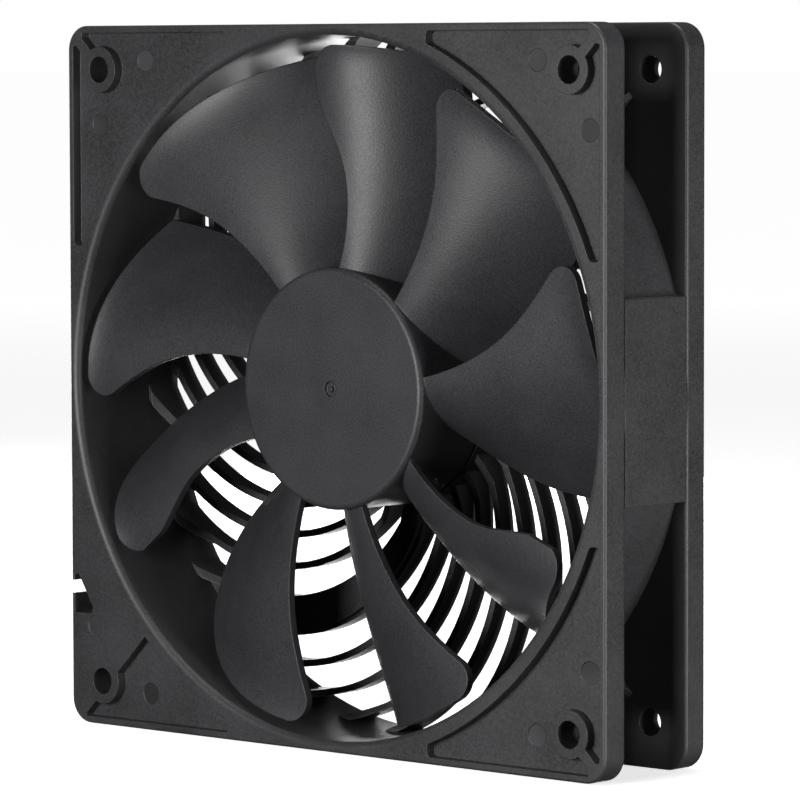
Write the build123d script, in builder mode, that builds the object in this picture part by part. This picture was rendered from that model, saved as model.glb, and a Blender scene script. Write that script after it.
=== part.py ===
from build123d import *
import os
from math import acos, cos, degrees, hypot, radians, sin

# A 120 mm case fan. Millimetres, +Z up, +X to the right when the intake side is looked at.
# The air goes along +Y: the intake face lies at -Y and the grille is at +Y.
# The origin is the middle of the frame, on the spin axis.

# Driving dimensions
fan_side = 120.0
fan_depth = 25.0
hole_spacing = 105.0
hole_radius = 2.25
hub_radius = 20.0
blade_tip_radius = 56.6
fin_count = 34
shaft_radius = 1.5
bearing_clearance = 0.03

front_face = -fan_depth / 2
rear_face = fan_depth / 2
half_side = fan_side / 2
hole_offset = hole_spacing / 2

os.makedirs("parts", exist_ok=True)


def plane_at(depth):
    """The plane across the spin axis at this depth, looked at from the intake side."""
    return Plane.XZ.offset(-depth)


def polar(radius, angle):
    return (radius * cos(radians(angle)), radius * sin(radians(angle)))


def ring(part_radius, bore_radius, front, rear):
    """A plain ring about the spin axis between two depths."""
    with BuildPart() as made:
        with BuildSketch(plane_at(rear)):
            Circle(part_radius)
            Circle(bore_radius, mode=Mode.SUBTRACT)
        extrude(amount=rear - front)
    return made


def finish(piece, name):
    piece.part.label = name
    export_step(piece.part, "parts/" + name + ".step")


# Frame: flanges, duct, side pads and corner gussets
flange_corner = 4.2
front_flange = 5.0
rear_flange = 4.7
flange_edge = 0.45
duct_radius = 60.0
pad_width = 32.8
gusset_wall = 1.1
gusset_reach = 68.5
gusset_rise = 7.5
front_flange_back = front_face + front_flange
rear_flange_front = rear_face - rear_flange

# Frame: bore
bore_radius = 58.2
outlet_radius = 58.7
mouth_lip = 1.2
mouth_radius = bore_radius + mouth_lip

# Frame: front corner pockets, screw bosses, ejector marks and cable notch
rim_radius = 61.0
pocket_depth = 1.8
pocket_outer = 58.8
pocket_inner = 22.4
pocket_round = 0.9
boss_radius = 3.9
corner_rib = 1.9
corner_fill = 2.3
mark_radius = 1.85
mark_depth = 0.12
pocket_marks = [(44.6, 54), (55.4, 43), (55.4, -42.6), (44.4, -53.5), (-43, 54), (-54, 43), (-42.5, -54)]
flush_mark = (-54, -43)

# Frame: grille, cable channel and motor base
grille_rear = 12.0
grille_front = 8.7
fin_wall = 1.15
fin_curve = 36.0
fin_centre = 30.64
fin_start = 5.63
foot_front = 5.2
channel_fins = (17, 18)
channel_front = 7.6
slot_width = 3.0
slot_length = 3.0
base_radius = 20.0
base_wall = 1.3
base_front = 5.3
base_floor = 1.8
tube_radius = 4.6
tube_bore = 3.4
tube_front = -7.9

fin_pitch = 360 / fin_count
base_floor_front = grille_rear - base_floor


def fin_angle(radius):
    """How far a point of a fin's outer side, at this radius, is turned from the fin's own centre."""
    cosine = (radius**2 + fin_centre**2 - fin_curve**2) / (2 * radius * fin_centre)
    return degrees(acos(cosine))


# The outline of one pocket, in the corner at the upper right
with BuildSketch() as corner_pocket:
    with Locations(((pocket_outer + pocket_inner) / 2, (pocket_outer + pocket_inner) / 2)):
        Rectangle(pocket_outer - pocket_inner, pocket_outer - pocket_inner)
    Circle(rim_radius, mode=Mode.SUBTRACT)
    tips = corner_pocket.vertices().filter_by(lambda v: min(v.X, v.Y) < pocket_inner + 0.01)
    fillet(tips, pocket_round)
    with Locations((hole_offset, hole_offset)):
        Circle(boss_radius, mode=Mode.SUBTRACT)
    with Locations((half_side, half_side)):
        Rectangle(2 * (half_side - hole_offset), corner_rib, rotation=45, mode=Mode.SUBTRACT)
    with Locations((pocket_outer, pocket_outer)):
        Circle(corner_fill, mode=Mode.SUBTRACT)

# The pocket beside the cable notch keeps only the part under its diagonal wall
with BuildSketch() as notch_corner_pocket:
    with PolarLocations(0, 1, start_angle=180):
        add(corner_pocket.sketch)
    with BuildLine():
        Polyline((-64, -64 - corner_rib), (-20, -20 - corner_rib), (-20, 0), (-64, 0), close=True)
    make_face(mode=Mode.SUBTRACT)

# One fin seen from the front, with its centre on the X axis
fin_low = degrees(acos((polar(60.2, fin_angle(60.2))[0] - fin_centre) / fin_curve))
fin_high = degrees(acos((polar(19.3, fin_angle(19.3))[0] - fin_centre) / fin_curve))
with BuildSketch() as fin_outline:
    with BuildLine():
        outer_side = CenterArc((fin_centre, 0), fin_curve, fin_low, fin_high - fin_low)
        inner_side = CenterArc((fin_centre, 0), fin_curve - fin_wall, fin_low, fin_high - fin_low)
        Line(outer_side @ 0, inner_side @ 0)
        Line(outer_side @ 1, inner_side @ 1)
    make_face()

# All fins, trimmed to a shallow ring with deeper feet at the duct and at the motor base
with BuildPart() as fins:
    with BuildSketch(plane_at(grille_rear)):
        with PolarLocations(0, fin_count, start_angle=fin_start):
            add(fin_outline.sketch)
    extrude(amount=grille_rear - foot_front)
    with BuildSketch(Plane.XY):
        with BuildLine():
            Polyline(
                (base_radius - 0.6, grille_rear), (outlet_radius + 0.8, grille_rear),
                (outlet_radius + 0.8, foot_front), (58, foot_front), (54.6, grille_front),
                (24, grille_front), (base_radius, 6.6), (base_radius - 0.6, 6.6), close=True)
        make_face()
    revolve(axis=Axis.Y, mode=Mode.INTERSECT)

# The flat floor that closes one gap between two fins and hides the wires
with BuildPart() as channel_floor:
    with BuildSketch(plane_at(grille_front + 0.3)):
        with Locations(polar(fin_centre, fin_start + channel_fins[1] * fin_pitch)):
            Circle(fin_curve - fin_wall / 2)
        with Locations(polar(fin_centre, fin_start + channel_fins[0] * fin_pitch)):
            Circle(fin_curve - fin_wall / 2, mode=Mode.SUBTRACT)
        Circle(outlet_radius, mode=Mode.INTERSECT)
        Circle(base_radius - 0.7, mode=Mode.SUBTRACT)
    extrude(amount=grille_front + 0.3 - channel_front)

# The motor base: an open cup with the bearing tube standing in its middle
with BuildPart() as motor_base:
    with BuildSketch(Plane.XY):
        with BuildLine():
            Polyline(
                (0, grille_rear), (base_radius, grille_rear), (base_radius, base_front),
                (base_radius - base_wall, base_front), (base_radius - base_wall, base_floor_front),
                (tube_radius, base_floor_front), (tube_radius, tube_front), (tube_bore, tube_front),
                (tube_bore, base_floor_front), (0, base_floor_front), close=True)
        make_face()
    revolve(axis=Axis.Y)

with BuildPart() as frame:
    # Duct and the two flanges with rounded edges
    with BuildSketch(plane_at(rear_flange_front + 1)):
        Circle(duct_radius)
    extrude(amount=rear_flange_front - front_flange_back + 2)
    for flange_rear, thickness in ((front_flange_back, front_flange), (rear_face, rear_flange)):
        with BuildPart(mode=Mode.PRIVATE) as flange:
            with BuildSketch(plane_at(flange_rear)):
                RectangleRounded(fan_side, fan_side, flange_corner)
            extrude(amount=thickness)
            fillet(flange.faces().filter_by(Axis.Y).edges(), flange_edge)
        add(flange.part)
    # Flat pads in the middle of each side
    with BuildSketch(plane_at(rear_flange_front)):
        Rectangle(fan_side, pad_width)
        Rectangle(pad_width, fan_side)
    extrude(amount=rear_flange_front - front_flange_back)
    # Gussets on the diagonals, between the duct and the rear flange
    for corner in range(4):
        diagonal = Plane.XY.rotated((0, -45 - 90 * corner, 0))
        with BuildSketch(diagonal):
            with BuildLine():
                Polyline(
                    (duct_radius - 1, rear_flange_front + 0.5), (gusset_reach, rear_flange_front + 0.5),
                    (gusset_reach, rear_flange_front), (duct_radius - 1, rear_flange_front - gusset_rise),
                    close=True)
            make_face()
        extrude(amount=gusset_wall / 2, both=True)
    # Bore with a rounded lip at its mouth, slightly wider at the outlet
    with BuildSketch(Plane.XY):
        with BuildLine():
            lip = CenterArc((mouth_radius, front_face + mouth_lip), mouth_lip, 180, 90)
            Polyline(lip @ 1, (0, front_face), (0, rear_face), (outlet_radius, rear_face), lip @ 0)
        make_face()
    revolve(axis=Axis.Y, mode=Mode.SUBTRACT)
    # Corner pockets
    with BuildSketch(plane_at(front_face + pocket_depth)):
        with PolarLocations(0, 3, start_angle=-90, angular_range=180, endpoint=True):
            add(corner_pocket.sketch)
        add(notch_corner_pocket.sketch)
    extrude(amount=pocket_depth, mode=Mode.SUBTRACT)
    # Ejector marks in the pocket floors and on the flush corner
    for floor, places in ((front_face + pocket_depth, pocket_marks), (front_face, [flush_mark])):
        with BuildSketch(plane_at(floor + mark_depth)):
            with Locations(*places):
                Circle(mark_radius)
        extrude(amount=mark_depth, mode=Mode.SUBTRACT)
    # Screw holes through both flanges
    with BuildSketch(plane_at(rear_face)):
        with GridLocations(hole_spacing, hole_spacing, 2, 2):
            Circle(hole_radius)
    extrude(amount=fan_depth, mode=Mode.SUBTRACT)
    # Cable notch with two lips at the edge of the front flange
    with BuildSketch(plane_at(front_flange_back)):
        with BuildLine():
            Polyline((-59.2, -34.4), (-58.1, -34.4), (-54.7, -39.9), (-55, -41), (-59.2, -41), close=True)
        make_face()
        with Locations((-half_side, -36.6)):
            Rectangle(4, 2.3)
    extrude(amount=front_flange, mode=Mode.SUBTRACT)
    # Grille, cable channel and motor base
    add(motor_base.part)
    add(fins.part)
    add(channel_floor.part)
    # Slots that let the wires into the channel and out of it
    for radius in (base_radius - base_wall / 2, duct_radius - 0.5):
        slot_angle = fin_start + (channel_fins[0] + channel_fins[1]) / 2 * fin_pitch + fin_angle(radius)
        with BuildSketch(plane_at(rear_face)):
            with Locations(Location(polar(radius, slot_angle), slot_angle)):
                Rectangle(slot_length, slot_width)
        extrude(amount=rear_face - grille_front - 0.3, mode=Mode.SUBTRACT)
finish(frame, "frame")

# Impeller
hub_front = -11.1
hub_rear = 4.7
hub_wall = 1.4
hub_plate = 1.6
hub_edge = 0.9
gate_radius = 1.3
gate_depth = 0.5
blade_wall = 1.4
blade_root = 19.4
blade_span = blade_tip_radius - hub_radius
blade_plan_front = -14.0
blade_margin = 15.0
surface_margin = 0.8
chord_margin = 0.06
surface_rows = 12
edge_radii = (18.5, 31.0, 44.0, 57.5)
blade_front = -9.5
blade_sweep = 0.8
blade_rear = 3.4
blade_drop = 0.6
blade_camber = 2.2
tip_curl = 1.4
blade_count = 9
first_blade = 8.0
gate_nub = 0.45
shaft_seat = 0.9
hub_plate_rear = hub_front + hub_plate
hub_bore = hub_radius - hub_wall


def trail_angle(trail, radius):
    """Where a blade's rear edge is at this radius, from its angles at the root, halfway and at the tip."""
    root, middle, tip = trail
    span = (radius - hub_radius) / blade_span
    return root + (4 * middle - 3 * root - tip) * span + 2 * (root + tip - 2 * middle) * span**2


def blade_surface(lead_twist, trail):
    """The middle surface of a blade, nearly flat at its front edge and steep at its rear edge.

    lead_twist is how far the front edge leads at the tip, in degrees. Close to the tip the
    surface curls towards the intake. It runs a little past the blade's own edges all round.
    """
    rows = []
    surface_span = blade_tip_radius - blade_root + 2 * surface_margin
    for station in range(surface_rows + 1):
        radius = blade_root - surface_margin + surface_span * station / surface_rows
        span = (radius - hub_radius) / blade_span
        lead = lead_twist * span
        front = blade_front - blade_sweep * span
        rear = blade_rear + blade_drop * span
        row = []
        for step in range(surface_rows + 1):
            chord = -chord_margin + (1 + 2 * chord_margin) * step / surface_rows
            curl = tip_curl * span**14 * 4 * chord * (1 - chord)
            depth = front + (rear - front) * max(chord, 0) ** blade_camber - curl
            x, z = polar(radius, lead + (trail_angle(trail, radius) - lead) * chord)
            row.append(Vector(x, depth, z))
        rows.append(row)
    return Face.make_surface_from_array_of_points(rows)


def make_blade(lead_twist, lead_edge, trail, lead_round, trail_round):
    """A blade whose front edge goes through (radius, angle) points, cut from its middle surface."""
    with BuildPart() as blade:
        thicken(blade_surface(lead_twist, trail), amount=blade_wall / 2, both=True)
        with BuildSketch(plane_at(hub_rear)) as plan:
            with BuildLine():
                front_edge = Spline(*[polar(radius, angle) for radius, angle in lead_edge])
                rear_edge = Spline(*[polar(radius, trail_angle(trail, radius)) for radius in edge_radii])
                Line(front_edge @ 0, rear_edge @ 0)
                Polyline(front_edge @ 1, (blade_tip_radius + blade_margin, 0), rear_edge @ 1)
            make_face()
            Circle(blade_tip_radius, mode=Mode.INTERSECT)
            Circle(blade_root, mode=Mode.SUBTRACT)
            tips = plan.vertices().group_by(lambda v: round(hypot(v.X, v.Y), 2))[-1].sort_by(lambda v: v.Y)
            fillet(tips[-1], lead_round)
            fillet(tips[0], trail_round)
        extrude(amount=hub_rear - blade_plan_front, mode=Mode.INTERSECT)
    return blade.part


# Three kinds of blade: broad and slim ones with a pointed front edge, and one with a rounded front edge
pointed_edge = [(18.5, -0.5), (30, 3), (39.5, 7.6), (47, 12.4), (57.5, 18.8)]
rounded_edge = [(18.5, 0.5), (28, -4), (38, -1), (46, 4.4), (57.5, 5.5)]
blade_kinds = [
    make_blade(16.3, pointed_edge, trail=(-31, -31, -23.5), lead_round=3.5, trail_round=2.0),
    make_blade(16.3, pointed_edge, trail=(-37, -24.5, -16), lead_round=3.5, trail_round=2.0),
    make_blade(5.0, rounded_edge, trail=(-36, -25, -15), lead_round=5.0, trail_round=2.5),
]

with BuildPart() as impeller:
    # Hub cup
    with BuildSketch(plane_at(hub_rear)):
        Circle(hub_radius)
    extrude(amount=hub_rear - hub_front)
    fillet(impeller.faces().sort_by(Axis.Y)[0].edges(), hub_edge)
    with BuildSketch(plane_at(hub_rear)):
        Circle(hub_bore)
    extrude(amount=hub_rear - hub_plate_rear, mode=Mode.SUBTRACT)
    # Nine blades at an even pitch, the three kinds in turn
    for position in range(blade_count):
        blade = blade_kinds[position % len(blade_kinds)]
        add(blade.rotate(Axis.Y, -(first_blade + position * 360 / blade_count)))
    # Gate dimple with its small nub, and the seat of the shaft's end
    with BuildSketch(plane_at(hub_front + gate_depth)):
        Circle(gate_radius)
        Circle(gate_nub, mode=Mode.SUBTRACT)
    extrude(amount=gate_depth, mode=Mode.SUBTRACT)
    with BuildSketch(plane_at(hub_plate_rear)):
        Circle(shaft_radius)
    extrude(amount=shaft_seat, mode=Mode.SUBTRACT)
finish(impeller, "impeller")

# Rotor yoke, magnet, boss and shaft
yoke_wall = 1.0
yoke_rear = 2.2
yoke_hole = 4.0
magnet_wall = 2.0
magnet_front = -7.0
magnet_rear = 2.0
boss_rear = tube_front - 0.3
shaft_front = hub_plate_rear - shaft_seat
groove_front = 7.0
clip_wall = 0.5
groove_radius = 1.1
pad_front = 9.0
shaft_rear = pad_front - 0.05
yoke_plate_rear = hub_plate_rear + yoke_wall
magnet_radius = hub_bore - yoke_wall
magnet_bore = magnet_radius - magnet_wall

with BuildPart() as rotor_yoke:
    with BuildSketch(Plane.XY):
        with BuildLine():
            Polyline(
                (yoke_hole, hub_plate_rear), (hub_bore, hub_plate_rear), (hub_bore, yoke_rear),
                (magnet_radius, yoke_rear), (magnet_radius, yoke_plate_rear), (yoke_hole, yoke_plate_rear),
                close=True)
        make_face()
    revolve(axis=Axis.Y)
finish(rotor_yoke, "rotor_yoke")

ring_magnet = ring(magnet_radius, magnet_bore, magnet_front, magnet_rear)
finish(ring_magnet, "ring_magnet")

shaft_boss = ring(yoke_hole, shaft_radius, hub_plate_rear, boss_rear)
finish(shaft_boss, "shaft_boss")

with BuildPart() as shaft:
    with BuildSketch(plane_at(shaft_rear)):
        Circle(shaft_radius)
    extrude(amount=shaft_rear - shaft_front)
    chamfer(shaft.faces().sort_by(Axis.Y)[-1].edges(), 0.3)
    with BuildSketch(plane_at(groove_front + clip_wall)):
        Circle(shaft_radius + 1)
        Circle(groove_radius, mode=Mode.SUBTRACT)
    extrude(amount=clip_wall, mode=Mode.SUBTRACT)
finish(shaft, "shaft")

# Split ring in the shaft's groove, with its gap at the top
clip_radius = 2.6
clip_gap = 1.0
with BuildPart() as retaining_clip:
    with BuildSketch(plane_at(groove_front + clip_wall)):
        Circle(clip_radius)
        Circle(groove_radius, mode=Mode.SUBTRACT)
        with Locations((0, clip_radius)):
            Rectangle(clip_gap, 2 * clip_radius, mode=Mode.SUBTRACT)
    extrude(amount=clip_wall)
finish(retaining_clip, "retaining_clip")

# Bearing: bronze sleeve with chamfered ends, oil retainer, wear washer and thrust pad in the tube
sleeve_front = -7.3
sleeve_rear = 6.2
retainer_wall = 0.6
washer_wall = 0.3
running_radius = shaft_radius + bearing_clearance

bearing_sleeve = ring(tube_bore, running_radius, sleeve_front, sleeve_rear)
with bearing_sleeve:
    chamfer(bearing_sleeve.edges().filter_by(GeomType.CIRCLE).sort_by(SortBy.RADIUS)[-2:], 0.35)
finish(bearing_sleeve, "bearing_sleeve")

oil_retainer = ring(tube_bore, shaft_radius + 0.15, sleeve_front - retainer_wall, sleeve_front)
finish(oil_retainer, "oil_retainer")

wear_washer = ring(tube_bore, shaft_radius + 0.15, sleeve_rear, sleeve_rear + washer_wall)
finish(wear_washer, "wear_washer")

with BuildPart() as thrust_pad:
    with BuildSketch(plane_at(base_floor_front)):
        Circle(tube_bore)
    extrude(amount=base_floor_front - pad_front)
finish(thrust_pad, "thrust_pad")

# Stator: a four-pole core, two bobbin halves and four windings
pole_count = 4
core_radius = 15.2
core_front = -4.5
core_rear = 0.5
core_ring = 6.4
pole_neck = 4.6
pole_shoe = 2.2
pole_gap = 2.6
bobbin_layer = 0.7
bobbin_depth = 2.0
bobbin_cheek = 1.2
coil_bore = 5.0
coil_width = 9.8
coil_round = 1.8
core_middle = (core_front + core_rear) / 2
cheek_radius = core_radius - pole_shoe
coil_inner = core_ring + bobbin_cheek
coil_outer = cheek_radius - bobbin_cheek

with BuildPart() as stator_core:
    with BuildSketch(plane_at(core_rear)):
        Circle(core_radius)
        Circle(cheek_radius, mode=Mode.SUBTRACT)
        with PolarLocations(core_radius, pole_count, start_angle=45):
            Rectangle(3 * pole_shoe, pole_gap, mode=Mode.SUBTRACT)
        Circle(core_ring)
        with PolarLocations((cheek_radius + 1) / 2, pole_count):
            Rectangle(cheek_radius + 1, pole_neck)
        Circle(tube_radius, mode=Mode.SUBTRACT)
    extrude(amount=core_rear - core_front)
finish(stator_core, "stator_core")

with BuildPart() as insulator_rear:
    # Cheeks at both ends of each winding
    with BuildSketch(plane_at(core_rear + bobbin_depth)):
        Circle(coil_inner)
        with PolarLocations((coil_outer + cheek_radius) / 2, pole_count):
            Rectangle(bobbin_cheek, coil_width)
        Circle(tube_radius, mode=Mode.SUBTRACT)
    extrude(amount=bobbin_depth)
    # Thin layer between the core and the windings
    with BuildSketch(plane_at(core_rear + bobbin_layer)):
        with PolarLocations(cheek_radius / 2, pole_count):
            Rectangle(cheek_radius, coil_bore)
        Circle(tube_radius, mode=Mode.SUBTRACT)
    extrude(amount=bobbin_layer)
finish(insulator_rear, "insulator_rear")

with BuildPart() as insulator_front:
    add(insulator_rear.part.mirror(plane_at(core_middle)))
finish(insulator_front, "insulator_front")

core_depth = core_rear - core_front
winding_plane = Plane(origin=(coil_inner, core_middle, 0), x_dir=(0, 0, 1), z_dir=(1, 0, 0))
with BuildPart() as coil:
    with BuildSketch(winding_plane):
        RectangleRounded(coil_width, core_depth + 2 * bobbin_depth, coil_round)
        Rectangle(coil_bore, core_depth + 2 * bobbin_layer, mode=Mode.SUBTRACT)
    extrude(amount=coil_outer - coil_inner)
for number in range(pole_count):
    with BuildPart() as turned_coil:
        add(coil.part.rotate(Axis.Y, -number * 360 / pole_count))
    finish(turned_coil, "coil_" + str(number + 1))

# Driver board with its pins, chips and solder pads
board_front = 3.3
board_wall = 1.2
board_radius = 17.0
pin_radius = 0.35
pin_place = (coil_outer + cheek_radius) / 2
pin_rear = 5.6
board_rear = board_front + board_wall
sensor_place = (0, 15.8)
driver_place = (9.5, -8)
capacitor_place = (-10.5, 7)
resistor_places = [(-6, 11.5), (4.5, -13), (12.5, 5)]
wire_angles = (196, 208, 220)
wire_pad_place = 14.4
wire_pad_radius = 0.9


def board_chip(name, places, width, height, front, rear):
    """Flat moulded chips on the board, with their outer edges slightly chamfered."""
    with BuildPart() as chip:
        with BuildSketch(plane_at(rear)):
            with Locations(*places):
                Rectangle(width, height)
        extrude(amount=rear - front)
        chamfer(chip.edges().filter_by(Axis.Y), 0.12)
    finish(chip, name)


with BuildPart() as terminal_pins:
    with BuildSketch(plane_at(pin_rear)):
        with PolarLocations(pin_place, pole_count):
            Circle(pin_radius)
    extrude(amount=pin_rear - core_rear - bobbin_depth)
finish(terminal_pins, "terminal_pins")

with BuildPart() as circuit_board:
    with BuildSketch(plane_at(board_rear)):
        Circle(board_radius)
        Circle(tube_radius + 0.15, mode=Mode.SUBTRACT)
        with PolarLocations(pin_place, pole_count):
            Circle(pin_radius + 0.1, mode=Mode.SUBTRACT)
    extrude(amount=board_wall)
finish(circuit_board, "circuit_board")

board_chip("hall_sensor", [sensor_place], 2.9, 1.6, board_front - 0.9, board_front)
board_chip("driver_chip", [driver_place], 5, 4, board_rear, board_rear + 1.4)
board_chip("capacitor", [capacitor_place], 3.2, 2.5, board_rear, board_rear + 1.8)
board_chip("resistors", resistor_places, 1.6, 0.8, board_rear, board_rear + 0.45)

with BuildPart() as wire_pads:
    with BuildSketch(plane_at(board_rear + 0.5)):
        with Locations(*[polar(wire_pad_place, angle) for angle in wire_angles]):
            Circle(wire_pad_radius)
    extrude(amount=0.5)
    fillet(wire_pads.faces().group_by(Axis.Y)[-1].edges(), 0.35)
finish(wire_pads, "wire_pads")

# Plain label on the back of the motor base
label_radius = 17.0
label_wall = 0.15
with BuildPart() as rear_label:
    with BuildSketch(plane_at(grille_rear + label_wall)):
        Circle(label_radius)
    extrude(amount=label_wall)
finish(rear_label, "rear_label")
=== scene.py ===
import bpy
from math import pi, radians
from mathutils import Matrix, Vector


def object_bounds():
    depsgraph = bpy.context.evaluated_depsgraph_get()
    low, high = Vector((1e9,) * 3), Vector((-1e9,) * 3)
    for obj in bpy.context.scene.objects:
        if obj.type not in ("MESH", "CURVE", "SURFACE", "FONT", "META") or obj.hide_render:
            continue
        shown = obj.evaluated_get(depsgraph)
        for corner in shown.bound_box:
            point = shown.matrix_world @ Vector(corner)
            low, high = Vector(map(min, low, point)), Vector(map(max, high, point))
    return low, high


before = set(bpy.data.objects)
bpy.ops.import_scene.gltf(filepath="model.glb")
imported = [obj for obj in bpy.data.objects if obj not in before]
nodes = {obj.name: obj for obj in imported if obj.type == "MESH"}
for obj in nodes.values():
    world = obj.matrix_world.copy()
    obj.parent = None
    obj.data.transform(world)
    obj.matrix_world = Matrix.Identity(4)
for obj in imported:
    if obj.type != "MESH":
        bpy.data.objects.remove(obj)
cadBox = [list(corner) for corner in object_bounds()]
print("frame loaded:", len(nodes), "pieces")

# The camera looks at the intake side from the right, almost level
cameraView = {
    "azimuth": 42.143,     # degrees round the fan
    "elevation": 3.905,    # degrees above the fan's middle
    "roll": -0.144,
    "distance": 0.83339,   # metres
    "aside": 0.00402,      # how far the aim is right of the spin axis
    "above": -0.00235,     # how far the aim is above the spin axis
    "lens": 225.54,        # mm
    "sensor": 36,          # mm
    "nearest": 0.05,       # metres, nothing closer is drawn
}


def makeCamera(view):
    data = bpy.data.cameras.new("fanCamera")
    data.lens = view["lens"]
    data.sensor_width = view["sensor"]
    data.clip_start = view["nearest"]
    camera = bpy.data.objects.new("fanCamera", data)
    turn = (Matrix.Rotation(radians(view["azimuth"]), 4, "Z")
            @ Matrix.Rotation(radians(90 - view["elevation"]), 4, "X")
            @ Matrix.Rotation(radians(view["roll"]), 4, "Z"))
    offset = Vector((view["aside"], view["above"], view["distance"]))
    camera.matrix_world = Matrix.Translation(turn @ offset) @ turn
    bpy.context.scene.collection.objects.link(camera)
    bpy.context.scene.camera = camera


makeCamera(cameraView)
print("camera placed")


# Small tools that every finish is made with
def newFinish(name):
    finish = bpy.data.materials.new(name)
    finish.use_nodes = True
    return finish, finish.node_tree, finish.node_tree.nodes["Principled BSDF"]


def placed(tree, stretch):
    # object coordinates in metres, stretched where the finish has a direction
    place = tree.nodes.new("ShaderNodeTexCoord").outputs["Object"]
    if not stretch:
        return place
    scaled = tree.nodes.new("ShaderNodeMapping")
    scaled.inputs["Scale"].default_value = stretch
    tree.links.new(place, scaled.inputs["Vector"])
    return scaled.outputs["Vector"]


def grainNoise(tree, size, detail=2.0, stretch=None):
    # size is the width of one grain in metres
    noise = tree.nodes.new("ShaderNodeTexNoise")
    noise.inputs["Scale"].default_value = 1 / size
    noise.inputs["Detail"].default_value = detail
    tree.links.new(placed(tree, stretch), noise.inputs["Vector"])
    return noise.outputs["Fac"]


def bands(tree, pitch, direction, wander=0.0):
    # even ridges, pitch metres apart
    wave = tree.nodes.new("ShaderNodeTexWave")
    wave.bands_direction = direction
    wave.inputs["Scale"].default_value = pi / (10 * pitch)
    wave.inputs["Distortion"].default_value = wander
    tree.links.new(placed(tree, None), wave.inputs["Vector"])
    return wave.outputs["Fac"]


def spread(tree, value, low, high, start=0.3, end=0.7):
    # maps a pattern onto a range
    node = tree.nodes.new("ShaderNodeMapRange")
    node.inputs["From Min"].default_value = start
    node.inputs["From Max"].default_value = end
    node.inputs["To Min"].default_value = low
    node.inputs["To Max"].default_value = high
    tree.links.new(value, node.inputs["Value"])
    return node.outputs["Result"]


def tint(tree, value, dark, light):
    mix = tree.nodes.new("ShaderNodeMix")
    mix.data_type = "RGBA"
    mix.inputs["A"].default_value = (*dark, 1)
    mix.inputs["B"].default_value = (*light, 1)
    tree.links.new(value, mix.inputs["Factor"])
    return mix.outputs["Result"]


def added(tree, first, second, share):
    # first plus a share of second
    node = tree.nodes.new("ShaderNodeMath")
    node.operation = "MULTIPLY_ADD"
    tree.links.new(second, node.inputs[0])
    node.inputs[1].default_value = share
    tree.links.new(first, node.inputs[2])
    return node.outputs["Value"]


def bumped(tree, shader, height, strength, depth, edge=0.0, edgeSamples=6):
    # edge is the radius that sharp corners are softened to
    bump = tree.nodes.new("ShaderNodeBump")
    bump.inputs["Strength"].default_value = strength
    bump.inputs["Distance"].default_value = depth
    tree.links.new(height, bump.inputs["Height"])
    if edge:
        soft = tree.nodes.new("ShaderNodeBevel")
        soft.samples = edgeSamples
        soft.inputs["Radius"].default_value = edge
        tree.links.new(soft.outputs["Normal"], bump.inputs["Normal"])
    tree.links.new(bump.outputs["Normal"], shader.inputs["Normal"])


def finishNode(name, finish):
    piece = nodes[name]
    if not piece.material_slots:
        piece.data.materials.append(finish)
    for place in piece.material_slots:
        place.material = finish


# Moulded plastics: a fine spark-eroded grain with faint flow clouds
frameLook = {
    "dark": (0.0150, 0.0146, 0.0158),
    "light": (0.0430, 0.0419, 0.0452),
    "grain": 0.00034,
    "cloud": 0.014,
    "cloudShare": 0.5,
    "roughness": 0.50,
    "shine": 0.55,
    "bump": 0.5,
    "bumpDepth": 0.00003,
    "edge": 0.00022,
    "pocketMarks": -0.01058,    # depth of the ejector marks' floors, in metres along Y
    "flushMarks": -0.01238,
    "markDark": (0.016, 0.0156, 0.017),
    "markLight": (0.044, 0.043, 0.046),
    "markCloud": 0.02,
    "markCloudEnds": (0.4, 0.6),
    "markRoughness": 0.47,
}
impellerLook = {
    "dark": (0.0185, 0.0180, 0.0199),
    "light": (0.0370, 0.0360, 0.0401),
    "grain": 0.00030,
    "cloud": 0.010,
    "cloudShare": 0.4,
    "roughness": 0.49,
    "shine": 0.5,
    "bump": 0.7,
    "bumpDepth": 0.00005,
    "edge": 0.0003,
}
bobbinLook = {
    "dark": (0.60, 0.56, 0.46),
    "light": (0.70, 0.66, 0.55),
    "grain": 0.0004,
    "cloud": 0.005,
    "cloudShare": 0.6,
    "roughness": 0.42,
    "shine": 0.5,
    "bump": 0.2,
    "bumpDepth": 0.00002,
    "edge": 0.0001,
}
nylonLook = {
    "dark": (0.68, 0.66, 0.60),
    "light": (0.80, 0.78, 0.72),
    "grain": 0.0005,
    "cloud": 0.004,
    "cloudShare": 0.5,
    "roughness": 0.36,
    "shine": 0.5,
    "bump": 0.15,
    "bumpDepth": 0.00002,
    "edge": 0.00008,
}
chipLook = {
    "dark": (0.016, 0.016, 0.018),
    "light": (0.030, 0.030, 0.033),
    "grain": 0.00012,
    "cloud": 0.002,
    "cloudShare": 0.3,
    "roughness": 0.55,
    "shine": 0.5,
    "bump": 0.3,
    "bumpDepth": 0.00001,
    "edge": 0.00006,
}
ceramicLook = {
    "dark": (0.30, 0.19, 0.11),
    "light": (0.42, 0.29, 0.18),
    "grain": 0.0001,
    "cloud": 0.001,
    "cloudShare": 0.4,
    "roughness": 0.35,
    "shine": 0.5,
    "bump": 0.2,
    "bumpDepth": 0.00001,
    "edge": 0.00006,
}
magnetLook = {
    "dark": (0.030, 0.027, 0.025),
    "light": (0.060, 0.054, 0.050),
    "grain": 0.00025,
    "cloud": 0.003,
    "cloudShare": 0.7,
    "roughness": 0.62,
    "shine": 0.4,
    "bump": 0.5,
    "bumpDepth": 0.00003,
    "edge": 0.00015,
}


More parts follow.
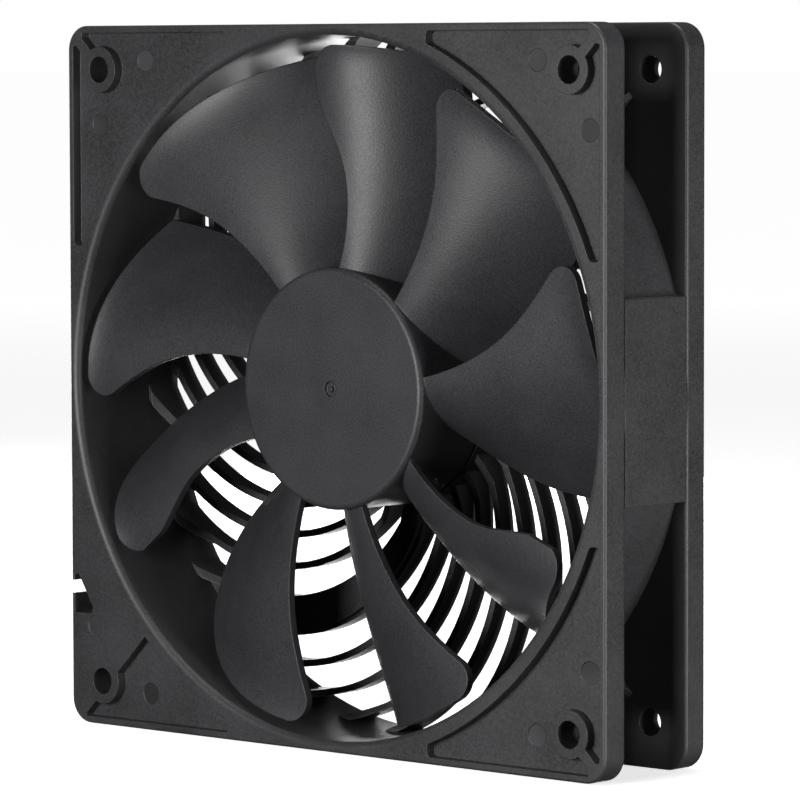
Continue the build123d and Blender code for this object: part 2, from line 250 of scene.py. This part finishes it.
# What all the moulded pieces share: where their patterns begin and end
mouldedPattern = {
    "grainDetail": 3,
    "darkEnd": 0.32,
    "lightEnd": 0.68,
    "darkCloud": 0.35,         # how far a full share of cloud moves each end
    "lightCloud": 0.65,
    "roughEnds": (0.5, 1.0),
    "roughSwing": 0.06,
}


def levelMask(tree, level, slack=0.00001):
    # 1 on the faces that lie at this depth along Y
    split = tree.nodes.new("ShaderNodeSeparateXYZ")
    tree.links.new(placed(tree, None), split.inputs[0])
    near = tree.nodes.new("ShaderNodeMath")
    near.operation = "COMPARE"
    tree.links.new(split.outputs["Y"], near.inputs[0])
    near.inputs[1].default_value = level
    near.inputs[2].default_value = slack
    return near.outputs["Value"]


def smoothMarks(tree, shader, look):
    # ejector pins leave the smoother print of their ends in the pockets and on the front face
    mask = added(tree, levelMask(tree, look["pocketMarks"]), levelMask(tree, look["flushMarks"]), 1.0)
    cloud = spread(tree, grainNoise(tree, look["markCloud"]), 0, 1, *look["markCloudEnds"])
    shade = tint(tree, cloud, look["markDark"], look["markLight"])
    colour = tree.nodes.new("ShaderNodeMix")
    colour.data_type = "RGBA"
    tree.links.new(mask, colour.inputs["Factor"])
    tree.links.new(shader.inputs["Base Color"].links[0].from_socket, colour.inputs["A"])
    tree.links.new(shade, colour.inputs["B"])
    tree.links.new(colour.outputs["Result"], shader.inputs["Base Color"])
    rough = tree.nodes.new("ShaderNodeMapRange")
    tree.links.new(mask, rough.inputs["Value"])
    tree.links.new(shader.inputs["Roughness"].links[0].from_socket, rough.inputs["To Min"])
    rough.inputs["To Max"].default_value = look["markRoughness"]
    tree.links.new(rough.outputs["Result"], shader.inputs["Roughness"])


def mouldedPlastic(name, look, pattern=mouldedPattern):
    finish, tree, shader = newFinish(name)
    grain = grainNoise(tree, look["grain"], detail=pattern["grainDetail"])
    cloud = grainNoise(tree, look["cloud"])
    both = added(tree, grain, cloud, look["cloudShare"])
    darkest = pattern["darkEnd"] + pattern["darkCloud"] * look["cloudShare"]
    lightest = pattern["lightEnd"] + pattern["lightCloud"] * look["cloudShare"]
    shade = spread(tree, both, 0, 1, darkest, lightest)
    tree.links.new(tint(tree, shade, look["dark"], look["light"]), shader.inputs["Base Color"])
    smoothest = look["roughness"] - pattern["roughSwing"]
    roughest = look["roughness"] + pattern["roughSwing"]
    tree.links.new(spread(tree, both, smoothest, roughest, *pattern["roughEnds"]), shader.inputs["Roughness"])
    shader.inputs["Specular IOR Level"].default_value = look["shine"]
    bumped(tree, shader, grain, look["bump"], look["bumpDepth"], look["edge"])
    if "markDark" in look:
        smoothMarks(tree, shader, look)
    return finish


# Metals: streaks run along the direction that the piece was drawn, turned or ground in
steelLook = {
    "dark": (0.42, 0.43, 0.44),
    "light": (0.60, 0.61, 0.62),
    "grain": 0.00015,
    "stretch": (1, 0.08, 1),
    "roughness": 0.34,
    "bump": 0.25,
    "bumpDepth": 0.00001,
}
brassLook = {
    "dark": (0.62, 0.45, 0.20),
    "light": (0.78, 0.60, 0.30),
    "grain": 0.0002,
    "stretch": (0.3, 1, 0.3),
    "roughness": 0.26,
    "bump": 0.3,
    "bumpDepth": 0.00001,
}
shaftLook = {
    "dark": (0.60, 0.60, 0.62),
    "light": (0.74, 0.74, 0.76),
    "grain": 0.0001,
    "stretch": (0.2, 1, 0.2),
    "roughness": 0.14,
    "bump": 0.15,
    "bumpDepth": 0.000005,
}
springLook = {
    "dark": (0.10, 0.12, 0.20),
    "light": (0.24, 0.25, 0.30),
    "grain": 0.0008,
    "stretch": None,
    "roughness": 0.30,
    "bump": 0.2,
    "bumpDepth": 0.00001,
}
bronzeLook = {
    "dark": (0.30, 0.17, 0.08),
    "light": (0.52, 0.33, 0.17),
    "grain": 0.00012,
    "stretch": None,
    "roughness": 0.45,
    "bump": 0.6,
    "bumpDepth": 0.00003,
}
tinLook = {
    "dark": (0.55, 0.55, 0.53),
    "light": (0.74, 0.74, 0.72),
    "grain": 0.0005,
    "stretch": None,
    "roughness": 0.25,
    "bump": 0.4,
    "bumpDepth": 0.00003,
}


# What all the worked metals share
metalPattern = {
    "streakDetail": 4,
    "smoother": 0.06,      # how far the roughness swings each way
    "rougher": 0.08,
}


def workedMetal(name, look, pattern=metalPattern):
    finish, tree, shader = newFinish(name)
    streaks = grainNoise(tree, look["grain"], detail=pattern["streakDetail"], stretch=look["stretch"])
    shade = tint(tree, spread(tree, streaks, 0, 1), look["dark"], look["light"])
    tree.links.new(shade, shader.inputs["Base Color"])
    smoothest = look["roughness"] - pattern["smoother"]
    roughest = look["roughness"] + pattern["rougher"]
    rough = spread(tree, streaks, smoothest, roughest)
    tree.links.new(rough, shader.inputs["Roughness"])
    shader.inputs["Metallic"].default_value = 1
    bumped(tree, shader, streaks, look["bump"], look["bumpDepth"])
    return finish


# Stator core: thin steel sheets stacked along the axis, a little rusty at their edges
coreLook = {
    "sheet": 0.0005,
    "rust": 0.0012,
    "rustDetail": 4,
    "dark": (0.16, 0.12, 0.10),
    "light": (0.40, 0.40, 0.41),
    "shadeEnds": (0.3, 1.1),
    "roughness": 0.42,
    "rustRoughness": 0.57,
    "metallic": 0.9,
    "bump": 0.7,
    "bumpDepth": 0.00005,
}


def laminatedSteel(name, look):
    finish, tree, shader = newFinish(name)
    sheets = bands(tree, look["sheet"], "Y")
    rust = grainNoise(tree, look["rust"], detail=look["rustDetail"])
    shade = spread(tree, added(tree, sheets, rust, 1.0), 0, 1, *look["shadeEnds"])
    tree.links.new(tint(tree, shade, look["dark"], look["light"]), shader.inputs["Base Color"])
    tree.links.new(spread(tree, rust, look["rustRoughness"], look["roughness"]), shader.inputs["Roughness"])
    shader.inputs["Metallic"].default_value = look["metallic"]
    bumped(tree, shader, sheets, look["bump"], look["bumpDepth"])
    return finish


# Windings: enamelled copper wire laid side by side, so the ridges are one wire apart
wireLook = {
    "wire": 0.00028,
    "wander": 0.6,
    "patch": 0.0015,
    "patchShare": 0.5,
    "dark": (0.26, 0.08, 0.03),
    "light": (0.72, 0.30, 0.13),
    "shadeEnds": (0.2, 1.1),
    "roughness": 0.24,
    "roughest": 0.34,
    "metallic": 0.85,
    "bump": 1.0,
    "bumpDepth": 0.00009,
    "enamel": 0.8,
}


def woundCopper(name, look, direction):
    finish, tree, shader = newFinish(name)
    turns = bands(tree, look["wire"], direction, wander=look["wander"])
    patches = grainNoise(tree, look["patch"])
    shade = spread(tree, added(tree, turns, patches, look["patchShare"]), 0, 1, *look["shadeEnds"])
    tree.links.new(tint(tree, shade, look["dark"], look["light"]), shader.inputs["Base Color"])
    tree.links.new(spread(tree, patches, look["roughness"], look["roughest"]), shader.inputs["Roughness"])
    shader.inputs["Metallic"].default_value = look["metallic"]
    shader.inputs["Coat Weight"].default_value = look["enamel"]
    bumped(tree, shader, turns, look["bump"], look["bumpDepth"])
    return finish


# Driver board: green solder mask over a thin copper pattern
boardLook = {
    "mask": (0.010, 0.075, 0.030),
    "overCopper": (0.022, 0.130, 0.055),
    "trace": 0.0022,
    "traceEnds": (0.06, 0.1),
    "weave": 0.0004,
    "weaveShare": 0.2,
    "roughness": 0.3,
    "roughest": 0.42,
    "coat": 0.6,
    "bump": 0.5,
    "bumpDepth": 0.00003,
}


def maskedBoard(name, look):
    finish, tree, shader = newFinish(name)
    cells = tree.nodes.new("ShaderNodeTexVoronoi")
    cells.feature = "DISTANCE_TO_EDGE"
    cells.inputs["Scale"].default_value = 1 / look["trace"]
    tree.links.new(placed(tree, None), cells.inputs["Vector"])
    copper = spread(tree, cells.outputs["Distance"], 0, 1, *look["traceEnds"])
    tree.links.new(tint(tree, copper, look["mask"], look["overCopper"]), shader.inputs["Base Color"])
    weave = grainNoise(tree, look["weave"])
    tree.links.new(spread(tree, weave, look["roughness"], look["roughest"]), shader.inputs["Roughness"])
    shader.inputs["Coat Weight"].default_value = look["coat"]
    bumped(tree, shader, added(tree, copper, weave, look["weaveShare"]), look["bump"], look["bumpDepth"])
    return finish


# Label: blank silver film on the back of the motor base
labelLook = {
    "dark": (0.42, 0.42, 0.43),
    "light": (0.50, 0.50, 0.51),
    "fibre": 0.0002,
    "fibreDetail": 3,
    "fibreShare": 0.05,
    "waves": 0.009,
    "roughness": 0.33,
    "roughest": 0.43,
    "metallic": 0.3,
    "gloss": 0.4,
    "bump": 0.3,
    "bumpDepth": 0.0001,
}


def labelFilm(name, look):
    finish, tree, shader = newFinish(name)
    fibre = grainNoise(tree, look["fibre"], detail=look["fibreDetail"])
    waves = grainNoise(tree, look["waves"])
    shade = tint(tree, spread(tree, fibre, 0, 1), look["dark"], look["light"])
    tree.links.new(shade, shader.inputs["Base Color"])
    tree.links.new(spread(tree, waves, look["roughness"], look["roughest"]), shader.inputs["Roughness"])
    shader.inputs["Metallic"].default_value = look["metallic"]
    shader.inputs["Coat Weight"].default_value = look["gloss"]
    bumped(tree, shader, added(tree, waves, fibre, look["fibreShare"]), look["bump"], look["bumpDepth"])
    return finish


# Fixed side of the fan
finishNode("frame", mouldedPlastic("frameMoulding", frameLook))
finishNode("bearing_sleeve", workedMetal("sinteredBronze", bronzeLook))
softNylon = mouldedPlastic("naturalNylon", nylonLook)
for name in ("oil_retainer", "wear_washer", "thrust_pad"):
    finishNode(name, softNylon)
finishNode("stator_core", laminatedSteel("coreSheets", coreLook))
bobbinMoulding = mouldedPlastic("bobbinMoulding", bobbinLook)
for name in ("insulator_front", "insulator_rear"):
    finishNode(name, bobbinMoulding)
for number, direction in ((1, "X"), (2, "Z"), (3, "X"), (4, "Z")):
    finishNode(f"coil_{number}", woundCopper(f"woundCopper{number}", wireLook, direction))
tinned = workedMetal("tinnedMetal", tinLook)
for name in ("terminal_pins", "wire_pads"):
    finishNode(name, tinned)
finishNode("circuit_board", maskedBoard("solderMask", boardLook))
chipMoulding = mouldedPlastic("chipMoulding", chipLook)
for name in ("hall_sensor", "driver_chip", "resistors"):
    finishNode(name, chipMoulding)
finishNode("capacitor", mouldedPlastic("firedCeramic", ceramicLook))
finishNode("rear_label", labelFilm("silverFilm", labelLook))
print("housing finished")

# Turning side of the fan
finishNode("impeller", mouldedPlastic("impellerMoulding", impellerLook))
finishNode("rotor_yoke", workedMetal("drawnSteel", steelLook))
finishNode("ring_magnet", mouldedPlastic("bondedFerrite", magnetLook))
finishNode("shaft_boss", workedMetal("turnedBrass", brassLook))
finishNode("shaft", workedMetal("groundShaft", shaftLook))
finishNode("retaining_clip", workedMetal("bluedSpring", springLook))
print("rotor finished")

# Pale floor that glows with painted light, dimmer near the fan, and soft light. The panels stay out of sight
# of the camera.
studio = {
    "floorSize": 60.0,
    "floorGap": 0.0001,            # metres under the fan
    "floorColour": (0.8, 0.8, 0.8),
    "floorRoughness": 0.9,
    # the floor's glow is painted light; it glows less near the fan, a painted shade around it
    "floorPaintedGlow": (0.72, 0.97),     # near the fan and far away
    "glowReach": (0.25, 1.5),      # metres from the fan
    "roomFill": 0.015,             # light that the pale room sends back
    "panels": {
        # name: power in watts, size in metres, place
        "frontPanel": (2.2, 0.2, (0.04, -0.43, 0.035)),
        "sidePanel": (3.1, 0.3, (0.60, 0.02, -0.07)),
        "rearPanel": (3.2, 0.3, (-0.30, 0.44, -0.10)),
        "leftPanel": (3.2, 0.3, (-0.60, 0.12, -0.10)),
        "topPanel": (2.6, 0.14, (0.0, 0.0, 0.60)),
    },
}


def makeFloor(look, height):
    bpy.ops.mesh.primitive_plane_add(size=look["floorSize"], location=(0, 0, height))
    floor = bpy.context.object
    floor.name = "paleFloor"
    finish, tree, shader = newFinish("paintedGlowFloor")
    shader.inputs["Base Color"].default_value = (*look["floorColour"], 1)
    shader.inputs["Roughness"].default_value = look["floorRoughness"]
    shader.inputs["Emission Color"].default_value = (1, 1, 1, 1)
    # painted light: the floor glows, less near the fan, so a painted shade rings the fan
    distance = tree.nodes.new("ShaderNodeVectorMath")
    distance.operation = "LENGTH"
    tree.links.new(placed(tree, None), distance.inputs[0])
    glow = spread(tree, distance.outputs["Value"], *look["floorPaintedGlow"], *look["glowReach"])
    tree.links.new(glow, shader.inputs["Emission Strength"])
    floor.data.materials.append(finish)
    floor.visible_diffuse = False
    floor.visible_glossy = False
    floor.visible_shadow = False   # the low panels shine through it, like light off a white table


def makePanel(name, power, size, place):
    data = bpy.data.lights.new(name, "AREA")
    data.energy = power
    data.size = size
    light = bpy.data.objects.new(name, data)
    light.location = place
    light.rotation_euler = (-Vector(place)).to_track_quat("-Z", "Y").to_euler()
    light.visible_camera = False
    bpy.context.scene.collection.objects.link(light)


def makeRoom(fill):
    # the room looks white, but lights the fan only a little
    world = bpy.data.worlds.new("paleRoom")
    world.use_nodes = True
    tree = world.node_tree
    background = tree.nodes["Background"]
    background.inputs["Color"].default_value = (1, 1, 1, 1)
    rays = tree.nodes.new("ShaderNodeLightPath")
    strength = tree.nodes.new("ShaderNodeMapRange")
    strength.inputs["To Min"].default_value = fill
    strength.inputs["To Max"].default_value = 1.0
    tree.links.new(rays.outputs["Is Camera Ray"], strength.inputs["Value"])
    tree.links.new(strength.outputs["Result"], background.inputs["Strength"])
    bpy.context.scene.world = world


makeFloor(studio, cadBox[0][2] - studio["floorGap"])
for name, (power, size, place) in studio["panels"].items():
    makePanel(name, power, size, place)
makeRoom(studio["roomFill"])
bpy.context.scene.view_settings.view_transform = "Standard"
print("studio lit")
